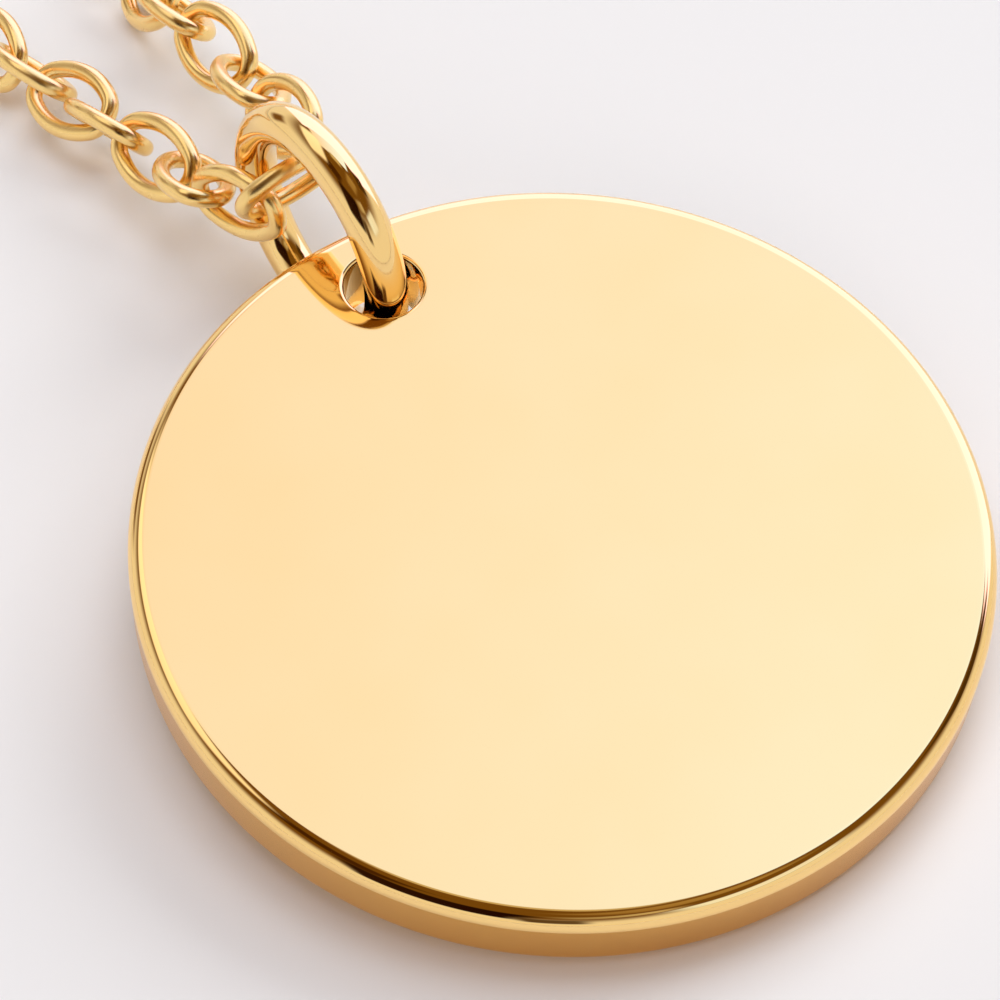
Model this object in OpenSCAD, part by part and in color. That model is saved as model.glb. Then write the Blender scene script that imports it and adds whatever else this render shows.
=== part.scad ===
// Plain round medallion on a jump ring, with its whole cable chain laid down as a closed loop.
// The disc's hole side stands on the ring, which stands on edge, and the chain runs through the ring.
// +Z is up, the hole side of the disc points to +Y, and the surface that all of it lies on is z = 0.

/* [Medallion] */
// Diameter of the disc
disc_d = 20; // [19.8:0.1:20.2]
// Thickness of the disc
disc_t = 1.9; // [1.7:0.05:1.9]
// Radius of the rounded edge, front and back
edge_r = 0.4; // [0.3:0.05:0.5]
// Diameter of the hole that holds the jump ring
hole_d = 1.94; // [1.94:0.01:2]
// Distance from the disc's centre to the hole's centre
hole_at = 8.06; // [8.05:0.01:8.08]
// Width of the broken edge round the hole
hole_bevel = 0.1; // [0.05:0.01:0.12]
// Slope of the disc, in degrees, where it leans on the jump ring
disc_tilt = 5.3; // [5.2:0.1:5.4]

/* [Jump ring] */
// Diameter of the ring along the middle of its wire
ring_d = 5.64; // [5.6:0.01:5.66]
// Thickness of the ring's wire
ring_wire = 1.08; // [1:0.01:1.08]
// Turn of the standing ring about the vertical, in degrees
ring_turn = 4.6; // [4:0.2:5]
// Lean of the standing ring from upright, in degrees
ring_lean = 1.2; // [1:0.1:1.4]

/* [Chain] */
// Length of the whole necklace, fastened and measured round its loop
necklace_l = 406; // [400:1:410]
// Radius of a link's two ends along the middle of its wire, from which its length and width follow
link_nose = 0.632; // [0.627:0.001:0.642]
// Thickness of a link's wire
link_wire = 0.46; // [0.42:0.01:0.46]
// Roll of every second link of the laid chain, in degrees, and of the others the other way
link_roll = 45; // [42:1:48]

/* [Clasp] */
// Diameter of the clasp's loop along the middle of its wire
clasp_d = 4.2; // [4.15:0.05:4.25]
// Thickness of the clasp's wire
clasp_wire = 0.6; // [0.55:0.01:0.6]
// Diameter of the clasp's small eye along the middle of its wire
eye_d = 2.1; // [2.05:0.05:2.15]
// Thickness of the eye's wire
eye_wire = 0.6; // [0.55:0.01:0.6]
// Diameter of the end ring along the middle of its wire
end_d = 2.8; // [2.75:0.05:2.85]
// Thickness of the end ring's wire
end_wire = 0.5; // [0.45:0.01:0.5]

/* [Hidden] */
// Distance from the disc's centre back to the middle of everything, along Y
middle_y = 68.6;
// Radius of a disc edge's rounding centre
rim_r = disc_d / 2 - edge_r;
// Height of the disc's back face at its centre
disc_z = rim_r * sin(disc_tilt) + edge_r * (1 - cos(disc_tilt));
// Place of the jump ring's centre, seen from the disc's centre on the surface
ring_at = [-0.27, 10.45, (ring_d / 2) * cos(ring_lean) + ring_wire / 2];
// Angle from a link's length to the place where an end runs into a side, in degrees
nose_turn = 60;
// Distance between the middles of an end's and a side's bend. It times sin 60 is a number of five digits,
// so that rounding leaves no gap between the bends, and a link is one solid
bend_step = 1.47625;
// Radius of a link's sides, which meet its ends without a corner
link_side = link_nose + bend_step;
// Distances from a link's middle to the middles of those bends, along it and across it
nose_at = bend_step * cos(nose_turn);
side_at = bend_step * sin(nose_turn);
// Half the width of a link along the middle of its wire
half_w = link_side - side_at;
// Length of one link over its ends, about 3.2
link_l = 2 * (nose_at + link_nose) + link_wire;
// Height of a rolled link's middle above the surface
link_z = half_w * sin(link_roll) + link_wire / 2;
// Extra length that a drilled hole runs past each face
past = 1;
// Colour of every piece
gold = [0.93, 0.74, 0.42];

// Links near the jump ring, in the order along the chain from the left strand through the ring to the right
// Columns: x, y, z of the link's middle, then heading, pitch and roll in degrees
near_links = [
  [-3.4, 23.2, 0.95, -89, 6, 50],
  [-3.05, 21.5, 1.25, -78, 6, -49],
  [-2.65, 19.85, 1.3, -74, 8, 30],
  [-2.4, 18.15, 1.6, -80, 16, -56],
  [-2, 16.15, 1.95, -78, 4, 44],
  [-1.7, 14.55, 2.35, -104, 22, -18],
  [-1.35, 12.75, 2.85, -70, 18, 84],
  [-0.25, 11.9, 3.75, 2, 4, -70],
  [0.95, 12.85, 3.25, 84, -4, 52],
  [1.1, 14.75, 2.9, 92, -14, -46],
  [1.2, 16.75, 2.4, 78, -18, 26],
  [1.2, 18.7, 2.15, 94, 2, -42],
  [1.05, 20.75, 1.95, 88, -14, 40],
  [1.1, 22.4, 1.3, 92, -26, -50]
];
// Rows of near_links that belong to the left strand
left_rows = 7;

// Points that the rest of the chain runs through, as x and y, from the left strand round to the right
route = [
  [-2.8, 20.5], [-3.3, 23.05], [-5.2, 30.5], [-9.5, 40], [-17, 50.5], [-26.5, 61], [-36, 72.5],
  [-43.5, 86], [-46.5, 100.5], [-44.5, 115], [-37, 128], [-26, 137.5], [-13.5, 143], [0, 145],
  [13.5, 143], [26, 137.5], [37, 128], [44.5, 115], [46.5, 100.5], [43.5, 86], [36, 72.5],
  [26.5, 61], [17, 50.5], [8.5, 40], [3, 30.5], [1.1, 22.3], [1, 15]
];
// Short steps between two neighbouring points of the route
route_steps = 8;

// Point at share t between points i and i + 1 of a smooth curve through a list of points
function smooth(p, i, t) =
  0.5 * (2 * p[i] + (p[i + 1] - p[i - 1]) * t
    + (2 * p[i - 1] - 5 * p[i] + 4 * p[i + 1] - p[i + 2]) * t * t
    + (3 * p[i] - p[i - 1] - 3 * p[i + 1] + p[i + 2]) * t * t * t);

// Distance along a line of points, one number for each point
function along(p, i = 0, s = 0) =
  i == len(p) - 1 ? [s] : concat([s], along(p, i + 1, s + norm(p[i + 1] - p[i])));

curve = [
  for (i = [1 : len(route) - 3])
    for (k = [0 : route_steps - (i == len(route) - 3 ? 0 : 1)])
      smooth(route, i, k / route_steps)
];
mileage = along(curve);
curve_x = [for (i = [0 : len(curve) - 1]) [mileage[i], curve[i][0]]];
curve_y = [for (i = [0 : len(curve) - 1]) [mileage[i], curve[i][1]]];
route_l = mileage[len(mileage) - 1];

// Place on the route, a distance s from its start
function on_route(s) = [lookup(s, curve_x), lookup(s, curve_y), 0];
// Heading of the route there, in degrees
function heading(s) =
  let (d = on_route(s + 1) - on_route(s - 1)) atan2(d[1], d[0]);

// Length that the clasp and the end ring add to the loop
clasp_l = 8;
// Links in a chain of the necklace's length without the clasp, pulled straight
links = (necklace_l - clasp_l) / (link_l - 2 * link_wire);
// Links along the route on each side of the clasp, an even number, so that the rolls suit the clasp
side_links = 2 * round((links - len(near_links)) / 4);
// Distance from the middle of the clasp's loop to the middle of its eye, whose wires overlap in the joint
eye_at = (clasp_d + eye_d) / 2 + 0.2;
// Length by which the last left link reaches over the middle of the eye
eye_slack = 0.25;
// Distance from the end ring's middle to the loop's far wire, and to the first right link's near wire
hook = 0.5;
// Distances along the route from the last left link to the clasp, the end ring and the first right link
loop_far = link_l / 2 - eye_slack + eye_at;
end_far = loop_far + clasp_d / 2 + hook;
right_far = end_far + hook + (link_l - link_wire) / 2;
// Distance between neighbouring links of the laid chain, which is a little slack
pitch = (route_l - right_far) / (2 * side_links);
// Places of the clasp's loop and of the end ring along the route
loop_s = side_links * pitch + loop_far;
end_s = side_links * pitch + end_far;
// Rolls of the clasp and of the end ring, in degrees
clasp_roll = 16;
end_roll = -25;

// Moves a piece so that the middle of everything is over the origin
module home() {
  translate([0, -middle_y, 0])
    children();
}

// Turns and lays a piece that lies along X: roll about its length, nose up, heading, then place
module lay(place, turn, pitch_up, roll) {
  translate(place)
    rotate([0, 0, turn])
      rotate([0, -pitch_up, 0])
        rotate([roll, 0, 0])
          children();
}

// Ring of round wire in the XY plane
module wire_ring(d, wire) {
  rotate_extrude($fn = 64)
    translate([d / 2, 0])
      circle(d = wire, $fn = 24);
}

// Bent round wire in the XY plane, from one angle to another about the origin
module bend(r, from, to) {
  rotate_extrude(start = from, angle = to - from, $fn = 72)
    translate([r, 0])
      circle(d = link_wire, $fn = 16);
}

// One soldered oval link of round wire, with two round ends and two flatter sides, lying along X
module link() {
  for (half_turn = [0, 180])
    rotate([0, 0, half_turn]) {
      translate([nose_at, 0, 0])
        bend(link_nose, -nose_turn, nose_turn);
      translate([0, -side_at, 0])
        bend(link_side, nose_turn, 180 - nose_turn);
    }
}

// Rows of the table of near links, from one row to another
module near_run(from, to) {
  for (i = [from : to])
    lay([near_links[i][0], near_links[i][1], near_links[i][2]],
        near_links[i][3], near_links[i][4], near_links[i][5])
      link();
}

// Links along the route at an even pitch, counted from the end of the route that starts the strand
module far_run(start, step, first_roll) {
  for (k = [1 : side_links]) {
    s = start + k * step;
    lay(on_route(s) + [0, 0, link_z], heading(s), 0, k % 2 == 1 ? first_roll : -first_roll)
      link();
  }
}

// Flat round plate with rounded edges, face up
module plate() {
  rotate_extrude($fn = 128)
    union() {
      square([rim_r, disc_t]);
      translate([0, edge_r])
        square([disc_d / 2, disc_t - 2 * edge_r]);
      for (z = [edge_r, disc_t - edge_r])
        translate([rim_r, z])
          circle(r = edge_r, $fn = 32);
    }
}

// The medallion's disc, drilled near its edge, leaning on the jump ring
module disc() {
  color(gold)
    home()
      translate([0, 0, disc_z])
        rotate([disc_tilt, 0, 0])
          difference() {
            plate();
            translate([0, hole_at, -past])
              cylinder(d = hole_d, h = disc_t + 2 * past, $fn = 64);
            translate([0, hole_at, disc_t - hole_bevel])
              cylinder(d1 = hole_d, d2 = hole_d + 4 * hole_bevel, h = 2 * hole_bevel, $fn = 64);
            translate([0, hole_at, -hole_bevel])
              cylinder(d1 = hole_d + 4 * hole_bevel, d2 = hole_d, h = 2 * hole_bevel, $fn = 64);
          }
}

// Closed, soldered ring that stands on edge through the disc's hole
module jump_ring() {
  color(gold)
    home()
      translate(ring_at)
        rotate([0, 0, ring_turn])
          rotate([0, 90 + ring_lean, 0])
            wire_ring(ring_d, ring_wire);
}

// Half of the chain, from the clasp down the left strand to the link beside the jump ring
module chain_left() {
  color(gold)
    home() {
      near_run(0, left_rows - 1);
      far_run(0, pitch, link_roll);
    }
}

// Half of the chain, from the link inside the jump ring up the right strand to the end ring
module chain_right() {
  color(gold)
    home() {
      near_run(left_rows, len(near_links) - 1);
      far_run(route_l, -pitch, -link_roll);
    }
}

// Plain clasp in one piece: a loop with a small eye, lying on the surface
module clasp() {
  color(gold)
    home()
      lay(on_route(loop_s) + [0, 0, clasp_d / 2 * sin(clasp_roll) + clasp_wire / 2],
          heading(loop_s), 0, clasp_roll) {
        wire_ring(clasp_d, clasp_wire);
        translate([-eye_at, 0, 0])
          wire_ring(eye_d, eye_wire);
      }
}

// Small closed ring at the other end of the chain, held by the clasp's loop
module end_ring() {
  color(gold)
    home()
      lay(on_route(end_s) + [0, 0, end_d / 2 * sin(-end_roll) + end_wire / 2],
          heading(end_s), 0, end_roll)
        wire_ring(end_d, end_wire);
}

disc();
jump_ring();
chain_left();
chain_right();
clasp();
end_ring();
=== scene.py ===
"""Polished round medallion on a jump ring, with its cable chain laid down as a closed loop on a pale surface."""

import math

import bpy
import numpy as np
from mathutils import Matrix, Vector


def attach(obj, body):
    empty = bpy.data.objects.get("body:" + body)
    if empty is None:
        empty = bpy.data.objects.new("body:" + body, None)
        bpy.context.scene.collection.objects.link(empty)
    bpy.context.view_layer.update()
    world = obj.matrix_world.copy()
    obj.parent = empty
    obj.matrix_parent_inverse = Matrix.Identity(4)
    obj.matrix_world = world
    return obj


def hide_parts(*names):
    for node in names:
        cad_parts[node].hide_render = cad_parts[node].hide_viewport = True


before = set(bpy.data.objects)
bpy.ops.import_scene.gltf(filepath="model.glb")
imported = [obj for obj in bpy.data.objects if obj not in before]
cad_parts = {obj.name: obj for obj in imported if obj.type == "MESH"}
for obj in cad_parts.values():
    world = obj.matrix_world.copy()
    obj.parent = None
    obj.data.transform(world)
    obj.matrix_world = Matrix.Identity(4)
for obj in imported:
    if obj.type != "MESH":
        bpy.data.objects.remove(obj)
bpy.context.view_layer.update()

# Medallion disc.
# A plain disc of gold-plated brass, turned, drilled near its edge and polished to a mirror, save for the satin wall
# round it, whose gold is painted darker and redder as painted shade. Its far side stands on the jump ring, so it
# slopes a little towards the viewer.

MM = 0.001
# From the disc's middle back to the middle of the whole necklace
MIDDLE_Y = 68.6 * MM
DISC_RADIUS = 10 * MM
DISC_THICKNESS = 1.9 * MM
EDGE_ROUND = 0.4 * MM
HOLE_RADIUS = 0.97 * MM
HOLE_AT = 8.06 * MM
HOLE_ROUND = 0.1 * MM
DISC_TILT = 5.3
DISC_AROUND = 640
# Steps of the disc's outline that are satin and carry the wall's painted shade: the last of its upper round, the
# wall and most of the round below
SATIN_AND_PAINTED_SHADE_STEPS = range(30, 50)
DISC_GOLD = (1.0, 0.69, 0.28)
# Painted shade: the wall's gold is the same plating as the face, painted darker and redder for the darker surface it
# mirrors
WALL_GOLD_PAINTED_SHADE = (0.80, 0.435, 0.092)


def turn(axis, degrees):
    """Rotation matrix about one axis: in the plane of the other two, (cos, -sin; sin, cos)."""
    a = np.radians(degrees)
    c, s = np.cos(a), np.sin(a)
    rows = {"x": [[1, 0, 0], [0, c, -s], [0, s, c]], "y": [[c, 0, s], [0, 1, 0], [-s, 0, c]],
            "z": [[c, -s, 0], [s, c, 0], [0, 0, 1]]}
    return np.array(rows[axis], float)


def closed_surface(name, *grids):
    """Mesh of closed grids. Each grid has the shape (copies, rows, columns, 3), and its last row joins its first
    and its last column its first, so point (i, j) makes the face (i, j), (i + 1, j), (i + 1, j + 1), (i, j + 1)."""
    points, faces, start = [], [], 0
    for grid in grids:
        copies, rows, columns = grid.shape[:3]
        number = start + np.arange(copies * rows * columns).reshape(copies, rows, columns)
        below, right = np.roll(number, -1, 1), np.roll(number, -1, 2)
        across = np.roll(below, -1, 2)
        faces.append(np.stack([number, below, across, right], -1).reshape(-1, 4))
        points.append(grid.reshape(-1, 3))
        start += copies * rows * columns
    mesh = bpy.data.meshes.new(name)
    mesh.from_pydata(np.concatenate(points).tolist(), [], np.concatenate(faces).tolist())
    mesh.polygons.foreach_set("use_smooth", np.ones(len(mesh.polygons), bool))
    piece = bpy.data.objects.new(name, mesh)
    bpy.context.scene.collection.objects.link(piece)
    return piece


def gold(name, colour, roughness, cloud_mm, waviness):
    """Polished gold plating: metal whose colour and gloss drift a little in soft clouds, with a faint waviness."""
    material = bpy.data.materials.new(name)
    material.use_nodes = True
    nodes, links = material.node_tree.nodes, material.node_tree.links
    shader = nodes["Principled BSDF"]
    shader.inputs["Metallic"].default_value = 1.0
    place = nodes.new("ShaderNodeTexCoord")
    cloud = nodes.new("ShaderNodeTexNoise")
    cloud.inputs["Scale"].default_value = 1 / (cloud_mm * MM)
    cloud.inputs["Detail"].default_value = 2.0
    links.new(place.outputs["Object"], cloud.inputs["Vector"])
    shade = nodes.new("ShaderNodeMapRange")
    shade.inputs["From Min"].default_value = 0.3
    shade.inputs["From Max"].default_value = 0.7
    shade.inputs["To Min"].default_value = roughness[0]
    shade.inputs["To Max"].default_value = roughness[1]
    links.new(cloud.outputs["Fac"], shade.inputs["Value"])
    links.new(shade.outputs["Result"], shader.inputs["Roughness"])
    # The clouds' dark parts are a little redder than the plating, and their light parts a little paler
    tone = nodes.new("ShaderNodeValToRGB")
    tone.color_ramp.elements[0].position = 0.3
    tone.color_ramp.elements[0].color = (colour[0], colour[1] * 0.985, colour[2] * 0.96, 1)
    tone.color_ramp.elements[1].position = 0.7
    tone.color_ramp.elements[1].color = (colour[0], colour[1] * 1.01, colour[2] * 1.03, 1)
    links.new(cloud.outputs["Fac"], tone.inputs["Fac"])
    links.new(tone.outputs["Color"], shader.inputs["Base Color"])
    bump = nodes.new("ShaderNodeBump")
    bump.inputs["Strength"].default_value = waviness
    bump.inputs["Distance"].default_value = 0.02 * MM
    links.new(cloud.outputs["Fac"], bump.inputs["Height"])
    links.new(bump.outputs["Normal"], shader.inputs["Normal"])
    return material


def disc_points(around):
    """Rings of points, each a circle whose centre, radius and height follow the disc's outline once round:
    over the face from the hole to the edge, round the edge, back over the underside and up through the hole. On
    the two flats the circle's centre moves evenly from the hole's to the disc's."""
    share = np.array([0, 0.004, 0.25, 0.5, 0.75, 0.985, 0.997])
    flat = DISC_RADIUS - EDGE_ROUND
    mouth = HOLE_RADIUS + HOLE_ROUND
    over = np.stack([HOLE_AT * (1 - share), mouth + (flat - mouth) * share, 0 * share + DISC_THICKNESS], -1)
    angle = np.radians(np.linspace(0, 90, 25))
    upper = np.stack([0 * angle, flat + EDGE_ROUND * np.sin(angle),
                      DISC_THICKNESS - EDGE_ROUND * (1 - np.cos(angle))], -1)
    lower = (upper * [1, 1, -1] + [0, 0, DISC_THICKNESS])[::-1]
    under = (over * [1, 1, 0])[::-1]
    bend = np.radians(np.linspace(0, 90, 9))[1:]
    lip = np.stack([0 * bend + HOLE_AT, mouth - HOLE_ROUND * np.sin(bend), HOLE_ROUND * (1 - np.cos(bend))], -1)
    upper_lip = (lip * [1, 1, -1] + [0, 0, DISC_THICKNESS])[::-1]
    through = np.concatenate([lip, [[HOLE_AT, HOLE_RADIUS, DISC_THICKNESS / 2]], upper_lip])
    outline = np.concatenate([over, upper, lower, under, through])[:, None]
    at = np.radians(np.linspace(0, 360, around, endpoint=False))
    return np.stack([outline[..., 1] * np.cos(at), outline[..., 0] + outline[..., 1] * np.sin(at),
                     outline[..., 2] + 0 * at], -1)


slope = math.radians(DISC_TILT)
disc_rise = (DISC_RADIUS - EDGE_ROUND) * math.sin(slope) + EDGE_ROUND * (1 - math.cos(slope))
disc_at = [0, -MIDDLE_Y, disc_rise]
disc = closed_surface("disc_polished", (disc_points(DISC_AROUND) @ turn("x", DISC_TILT).T + disc_at)[None])
disc.data.materials.append(gold("mirror_gold", DISC_GOLD, (0.03, 0.05), 4.0, 0.05))
# The satin wall's material carries painted shade: its gold is darker and redder than the face's
disc.data.materials.append(gold("satin_gold_painted_shade", WALL_GOLD_PAINTED_SHADE, (0.2, 0.26), 2.0, 0.05))
outline_step = np.arange(len(disc.data.polygons)) // DISC_AROUND
disc.data.polygons.foreach_set("material_index", np.isin(outline_step, SATIN_AND_PAINTED_SHADE_STEPS).astype(np.int32))
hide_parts("disc")
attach(disc, "root")

# Jump ring.
# A thick round wire of the same brass, bent to a ring, soldered shut and polished.
# It stands on edge through the disc's hole, and the chain runs through it.

RING_RADIUS = 2.82 * MM
RING_WIRE = 0.54 * MM
RING_SIDE = -0.27 * MM
RING_BACK = 10.45 * MM
RING_TURN = 4.6
RING_LEAN = 1.2
RING_GOLD = (1.0, 0.69, 0.28)


def wire_ring(radius, wire, around, across):
    """Ring of round wire: a circle of the wire's radius carried round a larger circle in the XY plane."""
    path = np.radians(np.linspace(0, 360, around, endpoint=False))[:, None]
    skin = np.radians(np.linspace(0, 360, across, endpoint=False))
    out = radius + wire * np.cos(skin)
    return np.stack([out * np.cos(path), out * np.sin(path), wire * np.sin(skin) + 0 * path], -1)


ring_rise = RING_RADIUS * math.cos(math.radians(RING_LEAN)) + RING_WIRE
ring_at = np.array([RING_SIDE, RING_BACK - MIDDLE_Y, ring_rise])
ring_turn = turn("z", RING_TURN) @ turn("y", 90 + RING_LEAN)
ring_points = wire_ring(RING_RADIUS, RING_WIRE, 240, 64) @ ring_turn.T + ring_at
jump_ring = closed_surface("jump_ring_polished", ring_points[None])
wire_gold = gold("wire_gold", RING_GOLD, (0.05, 0.09), 1.5, 0.12)
jump_ring.data.materials.append(wire_gold)
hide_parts("jump_ring")
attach(jump_ring, "root")

# Cable chain.
# Oval links of round brass wire, each one bent through the last, soldered and turned a quarter against it.
# Its two halves meet in the jump ring at the front and at the clasp behind.

LINK_NOSE = 0.632
LINK_STEP = 1.47625
LINK_TURN = math.radians(60)
LINK_WIRE = 0.23
LINK_ROLL = 45
CHAIN_GOLD = (1.0, 0.70, 0.27)
NEAR_LINKS = np.array([
    # x, y, z in mm, then heading, pitch and roll, from the left strand through the ring to the right strand
    [-3.4, 23.2, 0.95, -89, 6, 50],
    [-3.05, 21.5, 1.25, -78, 6, -49],
    [-2.65, 19.85, 1.3, -74, 8, 30],
    [-2.4, 18.15, 1.6, -80, 16, -56],
    [-2, 16.15, 1.95, -78, 4, 44],
    [-1.7, 14.55, 2.35, -104, 22, -18],
    [-1.35, 12.75, 2.85, -70, 18, 84],
    [-0.25, 11.9, 3.75, 2, 4, -70],
    [0.95, 12.85, 3.25, 84, -4, 52],
    [1.1, 14.75, 2.9, 92, -14, -46],
    [1.2, 16.75, 2.4, 78, -18, 26],
    [1.2, 18.7, 2.15, 94, 2, -42],
    [1.05, 20.75, 1.95, 88, -14, 40],
    [1.1, 22.4, 1.3, 92, -26, -50],
])
LEFT_ROWS = 7
ROUTE = np.array([
    # x and y in mm, round the whole necklace from the left strand to the right
    [-2.8, 20.5], [-3.3, 23.05], [-5.2, 30.5], [-9.5, 40], [-17, 50.5], [-26.5, 61], [-36, 72.5],
    [-43.5, 86], [-46.5, 100.5], [-44.5, 115], [-37, 128], [-26, 137.5], [-13.5, 143], [0, 145],
    [13.5, 143], [26, 137.5], [37, 128], [44.5, 115], [46.5, 100.5], [43.5, 86], [36, 72.5],
    [26.5, 61], [17, 50.5], [8.5, 40], [3, 30.5], [1.1, 22.3], [1, 15],
])
ROUTE_STEPS = 8
SIDE_LINKS = 80
CLASP_RADIUS = 2.1
EYE_AT = 3.35
# Length by which the last left link reaches over the middle of the clasp's eye
EYE_SLACK = 0.25
# Distance from the end ring's middle to the clasp's far wire, and to the last right link's near one
HOOK = 0.5

# Smooth curve through the route's points: between p1 and p2 it leaves along p0 to p2 and arrives along p1 to p3
t = np.linspace(0, 1, ROUTE_STEPS, endpoint=False)[:, None]
p0, p1, p2, p3 = ROUTE[:-3, None], ROUTE[1:-2, None], ROUTE[2:-1, None], ROUTE[3:, None]
bends = 0.5 * (2 * p1 + (p2 - p0) * t + (2 * p0 - 5 * p1 + 4 * p2 - p3) * t**2 + (3 * p1 - p0 - 3 * p2 + p3) * t**3)
curve = np.concatenate([bends.reshape(-1, 2), ROUTE[-2:-1]])
mileage = np.concatenate([[0], np.cumsum(np.hypot(*np.diff(curve, axis=0).T))])


def on_route(s):
    """Places on the route, distances s from its start: x and y read off between the points of the smooth curve."""
    return np.stack([np.interp(s, mileage, curve[:, 0]), np.interp(s, mileage, curve[:, 1])], -1)


def heading(s):
    """Heading of the route in degrees, from a point 1 mm before to a point 1 mm after."""
    d = on_route(s + 1) - on_route(s - 1)
    return np.degrees(np.arctan2(d[..., 1], d[..., 0]))


half_length = LINK_STEP * math.cos(LINK_TURN) + LINK_NOSE
half_width = LINK_NOSE + LINK_STEP * (1 - math.sin(LINK_TURN))
loop_far = half_length + LINK_WIRE - EYE_SLACK + EYE_AT
end_far = loop_far + CLASP_RADIUS + HOOK
right_far = end_far + HOOK + half_length
pitch = (mileage[-1] - right_far) / (2 * SIDE_LINKS)


def link_points(nose_steps, side_steps, across):
    """One oval link along X: a circle of the wire's radius carried round four arcs. An end's small arc has its
    middle at (LINK_STEP cos 60, 0), and a side's wide arc, whose radius is LINK_STEP larger, has its middle at
    (0, -LINK_STEP sin 60)."""
    at_end = np.linspace(-LINK_TURN, LINK_TURN, nose_steps, endpoint=False)
    at_side = np.linspace(LINK_TURN, math.pi - LINK_TURN, side_steps, endpoint=False)
    angle = np.concatenate([at_end, at_side])[:, None]
    is_end = np.concatenate([0 * at_end + 1, 0 * at_side])[:, None]
    out = np.concatenate([np.cos(angle), np.sin(angle)], 1)
    middle = np.concatenate([is_end * math.cos(LINK_TURN), (is_end - 1) * math.sin(LINK_TURN)], 1) * LINK_STEP
    wire = middle + (LINK_NOSE + LINK_STEP * (1 - is_end)) * out
    wire, out = np.concatenate([wire, -wire])[:, None], np.concatenate([out, -out])[:, None]
    skin = np.radians(np.linspace(0, 360, across, endpoint=False))[None, :, None]
    flat = wire + LINK_WIRE * np.cos(skin) * out
    return np.concatenate([flat, LINK_WIRE * np.sin(skin) + 0 * flat[..., :1]], -1) * MM


def laid(points, rows):
    """Copies of a piece along X, one for each row of x, y, z in mm, heading, pitch and roll in degrees."""
    matrices = np.array([turn("z", r[3]) @ turn("y", -r[4]) @ turn("x", r[5]) for r in rows])
    places = rows[:, None, None, :3] * MM - np.array([0, MIDDLE_Y, 0])
    return np.einsum("ijk,abk->iabj", matrices, points) + places


def far_links(s, roll):
    """Table of links along the route at the distances s, lying on the surface, rolled one way and then the other."""
    place = on_route(s)
    flat = 0 * s
    rise = half_width * math.sin(math.radians(LINK_ROLL)) + LINK_WIRE
    rolls = np.where(np.arange(len(s)) % 2 == 0, roll, -roll)
    return np.stack([place[:, 0], place[:, 1], flat + rise, heading(s), flat, rolls], -1)


# The links beside the medallion are finer than all the rest
counted = np.arange(1, SIDE_LINKS + 1)
fine_link, plain_link = link_points(20, 14, 20), link_points(4, 2, 6)
strands = {
    "chain_left": (NEAR_LINKS[:LEFT_ROWS], far_links(counted * pitch, LINK_ROLL)),
    "chain_right": (NEAR_LINKS[LEFT_ROWS:], far_links(mileage[-1] - counted * pitch, -LINK_ROLL)),
}
chain_gold = gold("chain_gold", CHAIN_GOLD, (0.2, 0.3), 1.2, 0.15)
for node, (near, far) in strands.items():
    strand = closed_surface(node + "_links", laid(fine_link, near), laid(plain_link, far))
    strand.data.materials.append(chain_gold)
    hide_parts(node)
    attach(strand, "root")

# Clasp.
# One plain piece behind the neck: a loop of round brass wire with a small eye soldered to it.
# The eye holds the last link of the left half.

CLASP_WIRE = 0.3
EYE_RADIUS = 1.05
CLASP_ROLL = 16

loop_s = np.array(SIDE_LINKS * pitch + loop_far)
loop_row = np.array([[*on_route(loop_s), CLASP_RADIUS * math.sin(math.radians(CLASP_ROLL)) + CLASP_WIRE,
                      heading(loop_s), 0, CLASP_ROLL]])
loop = wire_ring(CLASP_RADIUS * MM, CLASP_WIRE * MM, 96, 24)
eye = wire_ring(EYE_RADIUS * MM, CLASP_WIRE * MM, 64, 24) - [EYE_AT * MM, 0, 0]
clasp = closed_surface("clasp_polished", laid(loop, loop_row), laid(eye, loop_row))
clasp.data.materials.append(wire_gold)
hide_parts("clasp")
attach(clasp, "root")

# End ring.
# A small closed ring of round brass wire on the last link of the right half.
# The clasp's loop holds it.

END_RADIUS = 1.4
END_WIRE = 0.25
END_ROLL = -25

end_s = np.array(SIDE_LINKS * pitch + end_far)
end_row = np.array([[*on_route(end_s), END_RADIUS * math.sin(math.radians(-END_ROLL)) + END_WIRE,
                     heading(end_s), 0, END_ROLL]])
end_ring = closed_surface("end_ring_polished", laid(wire_ring(END_RADIUS * MM, END_WIRE * MM, 96, 24), end_row))
end_ring.data.materials.append(wire_gold)
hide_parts("end_ring")
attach(end_ring, "root")

# Surface.
# A plain pale matt sheet that all of it lies on. It isn't part of the necklace.

FLOOR_HALF = 3.0
floor_mesh = bpy.data.meshes.new("floor")
floor_mesh.from_pydata([(-FLOOR_HALF, -FLOOR_HALF, 0), (FLOOR_HALF, -FLOOR_HALF, 0), (FLOOR_HALF, FLOOR_HALF, 0),
                        (-FLOOR_HALF, FLOOR_HALF, 0)], [], [(0, 1, 2, 3)])
floor = bpy.data.objects.new("floor", floor_mesh)
bpy.context.scene.collection.objects.link(floor)
paper = bpy.data.materials.new("pale_sheet")
paper.use_nodes = True
paper_shader = paper.node_tree.nodes["Principled BSDF"]
paper_shader.inputs["Base Color"].default_value = (0.88, 0.87, 0.88, 1)
paper_shader.inputs["Roughness"].default_value = 1.0
paper_shader.inputs["Specular IOR Level"].default_value = 0.0
floor_mesh.materials.append(paper)

# Light.
# Soft lamps all round light the sheet, strongest from the back right, and the metal mirrors only the cards and the
# room: bright cards behind, above and low in front on the right, darker ones in front, on both sides and low behind.

SUBJECT = np.array([0, -MIDDLE_Y, 0])
CARD_DISTANCE = 0.6
# Heights in degrees between which the room goes from pale to dark gold
PALE_BELOW = 18
DARK_ABOVE = 46


def direction(azimuth, elevation):
    """Unit vector to a point of the sky: azimuth 0 is in front, at -Y, and 90 on the right, at +X."""
    a, e = math.radians(azimuth), math.radians(elevation)
    return np.array([math.sin(a) * math.cos(e), -math.cos(a) * math.cos(e), math.sin(e)])


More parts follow.
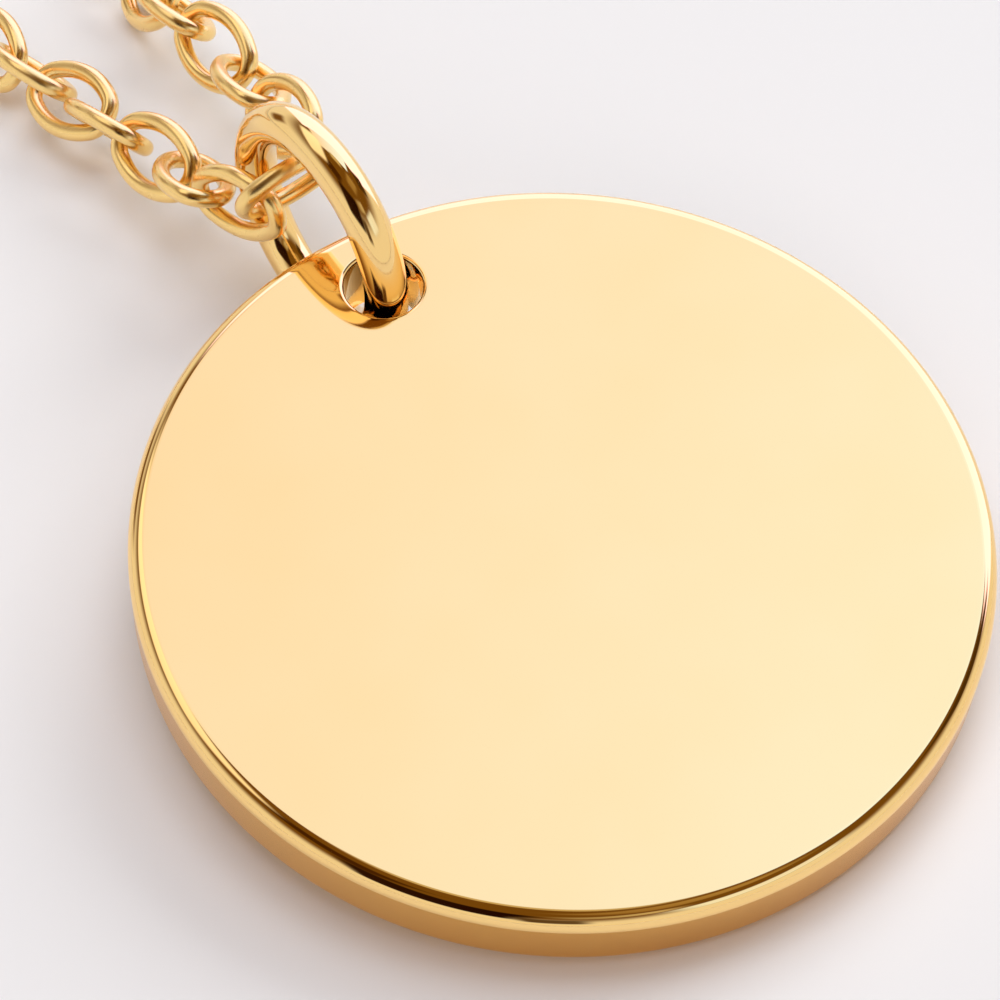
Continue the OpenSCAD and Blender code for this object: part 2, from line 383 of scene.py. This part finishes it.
def lamp(name, azimuth, elevation, distance, width, height, radiance, colour):
    """Rectangular lamp that faces the medallion and that the metal doesn't mirror. Its power is its radiance
    times pi times its area."""
    light = bpy.data.lights.new(name, "AREA")
    light.shape = "RECTANGLE"
    light.size, light.size_y = width, height
    light.energy = radiance * math.pi * width * height
    light.color = colour
    panel = bpy.data.objects.new(name, light)
    away = direction(azimuth, elevation)
    panel.location = SUBJECT + away * distance
    panel.rotation_mode = "QUATERNION"
    panel.rotation_quaternion = Vector(-away).to_track_quat("-Z", "Y")
    panel.visible_glossy = False
    panel.visible_camera = False
    bpy.context.scene.collection.objects.link(panel)


def card(name, azimuth, elevation, width, height, low_side, high_side, soft):
    """Glowing card that only the metal mirrors. Its colour runs from low_side, at its end of least azimuth, to
    high_side, and it fades out over the share soft of its width and height at every edge."""
    away = direction(azimuth, elevation)
    along = np.array([math.cos(math.radians(azimuth)), math.sin(math.radians(azimuth)), 0])
    up = np.cross(along, -away)
    corners = [(-1, -1), (1, -1), (1, 1), (-1, 1)]
    mesh = bpy.data.meshes.new(name)
    mesh.from_pydata([tuple(SUBJECT + away * CARD_DISTANCE + along * x * width / 2 + up * y * height / 2)
                      for x, y in corners], [], [(0, 1, 2, 3)])
    mesh.uv_layers.new(name="card").data.foreach_set("uv", [(c + 1) / 2 for corner in corners for c in corner])
    material = bpy.data.materials.new(name)
    material.use_nodes = True
    material.cycles.emission_sampling = "NONE"
    nodes, links = material.node_tree.nodes, material.node_tree.links
    nodes.clear()
    place, split = nodes.new("ShaderNodeUVMap"), nodes.new("ShaderNodeSeparateXYZ")
    links.new(place.outputs["UV"], split.inputs["Vector"])
    shade = nodes.new("ShaderNodeMix")
    shade.data_type = "RGBA"
    # Sockets 6 and 7 are this node's two colours, and its output 2 is their mix
    shade.inputs[6].default_value, shade.inputs[7].default_value = (*low_side, 1), (*high_side, 1)
    links.new(split.outputs["X"], shade.inputs["Factor"])
    glow, clear = nodes.new("ShaderNodeEmission"), nodes.new("ShaderNodeBsdfTransparent")
    links.new(shade.outputs[2], glow.inputs["Color"])
    cover = None
    for axis in ("X", "Y"):
        for start, end in ((0, soft), (1, 1 - soft)):
            edge = nodes.new("ShaderNodeMapRange")
            edge.interpolation_type = "SMOOTHSTEP"
            edge.inputs["From Min"].default_value, edge.inputs["From Max"].default_value = start, end
            links.new(split.outputs[axis], edge.inputs["Value"])
            if cover is None:
                cover = edge.outputs["Result"]
            else:
                both = nodes.new("ShaderNodeMath")
                both.operation = "MULTIPLY"
                links.new(cover, both.inputs[0])
                links.new(edge.outputs["Result"], both.inputs[1])
                cover = both.outputs["Value"]
    mixed, out = nodes.new("ShaderNodeMixShader"), nodes.new("ShaderNodeOutputMaterial")
    links.new(cover, mixed.inputs["Fac"])
    links.new(clear.outputs["BSDF"], mixed.inputs[1])
    links.new(glow.outputs["Emission"], mixed.inputs[2])
    links.new(mixed.outputs["Shader"], out.inputs["Surface"])
    mesh.materials.append(material)
    piece = bpy.data.objects.new(name, mesh)
    piece.visible_camera = piece.visible_diffuse = piece.visible_shadow = False
    bpy.context.scene.collection.objects.link(piece)


lamp("key_lamp", 112, 35, 0.7, 0.6, 0.4, 3.8, (0.97, 1.0, 1.0))
lamp("back_lamp", 150, 66, 0.8, 0.8, 0.6, 1.6, (0.9, 1.0, 1.07))
lamp("top_lamp", 180, 86, 0.8, 0.6, 0.6, 1.55, (1.0, 0.98, 1.05))
lamp("left_lamp", -55, 50, 0.9, 0.9, 0.7, 1.15, (1.0, 0.77, 0.6))
lamp("front_lamp", -20, 25, 0.9, 0.8, 0.4, 1.4, (1.0, 0.84, 0.78))
card("white_card", 125, 26, 0.98, 0.64, (1.8, 1.5, 2.6), (1.6, 1.4, 2.3), 0.04)
card("high_card", 136, 64, 0.50, 0.30, (1.0, 1.377, 2.31), (1.0, 0.917, 1.0), 0.06)
card("back_card", -148, 57, 0.56, 0.34, (1.3, 1.3, 1.3), (1.1, 1.0, 0.9), 0.2)
card("behind_card", -161, 13, 0.30, 0.25, (0.18, 0.09, 0.025), (0.18, 0.09, 0.025), 0.35)
card("top_card", 125, 80, 0.22, 0.14, (0.6, 0.5, 0.3), (0.6, 0.5, 0.3), 0.3)
card("upper_card", 22, 70, 0.34, 0.22, (0.30, 0.18, 0.055), (0.44, 0.30, 0.11), 0.3)
card("left_high_card", -85, 63, 0.26, 0.26, (0.06, 0.02, 0.001), (0.06, 0.02, 0.001), 0.25)
card("left_card", -55, 37, 0.40, 0.44, (0.03, 0.01, 0.002), (0.012, 0.002, 0.001), 0.16)
card("dark_card", -31, 25, 0.18, 0.30, (0.09, 0.05, 0.02), (0.13, 0.09, 0.05), 0.25)
card("front_card", -14, 50, 0.26, 0.16, (0.2, 0.13, 0.05), (0.75, 0.65, 0.45), 0.3)
card("bright_card", 14, 34, 0.42, 0.24, (0.95, 1.15, 1.5), (0.9, 0.95, 1.1), 0.25)
card("right_card", 76, 43, 0.24, 0.22, (0.07, 0.035, 0.006), (0.07, 0.035, 0.006), 0.2)

# The room's own light shows only in the metal
world = bpy.data.worlds.new("room")
bpy.context.scene.world = world
world.use_nodes = True
world.cycles_visibility.diffuse = False
sky_nodes, sky_links = world.node_tree.nodes, world.node_tree.links
sky_nodes.clear()
sky_out = sky_nodes.new("ShaderNodeOutputWorld")
sky_light = sky_nodes.new("ShaderNodeBackground")
sky_place = sky_nodes.new("ShaderNodeTexCoord")
sky_split = sky_nodes.new("ShaderNodeSeparateXYZ")
sky_ramp = sky_nodes.new("ShaderNodeValToRGB")
sky_ramp.color_ramp.interpolation = "EASE"
ramp = sky_ramp.color_ramp.elements
ramp[0].position, ramp[0].color = math.sin(math.radians(PALE_BELOW)), (0.88, 0.86, 0.84, 1)
ramp[1].position, ramp[1].color = math.sin(math.radians(DARK_ABOVE)), (0.17, 0.08, 0.01, 1)
sky_links.new(sky_place.outputs["Generated"], sky_split.inputs["Vector"])
sky_links.new(sky_split.outputs["Z"], sky_ramp.inputs["Fac"])
sky_links.new(sky_ramp.outputs["Color"], sky_light.inputs["Color"])
sky_links.new(sky_light.outputs["Background"], sky_out.inputs["Surface"])
bpy.context.scene.view_settings.view_transform = "Standard"

# Camera.
# It looks down on the medallion at about fifty degrees from the front left, close by, as the photograph was taken.

CAMERA_AT = np.array([-21.394, -32.433, 54.058]) * MM - [0, MIDDLE_Y, 0]
CAMERA_AXES = np.array([[0.84416, -0.53591, -0.01390],
                        [0.43203, 0.66472, 0.60951],
                        [-0.31740, -0.52053, 0.79266]])
lens = bpy.data.cameras.new("camera")
lens.sensor_width = 36
lens.lens = 100.8
lens.clip_start, lens.clip_end = 0.002, 20
camera = bpy.data.objects.new("camera", lens)
camera.location = CAMERA_AT
camera.rotation_mode = "QUATERNION"
camera.rotation_quaternion = Matrix(CAMERA_AXES.T.tolist()).to_quaternion()
bpy.context.scene.collection.objects.link(camera)
bpy.context.scene.camera = camera
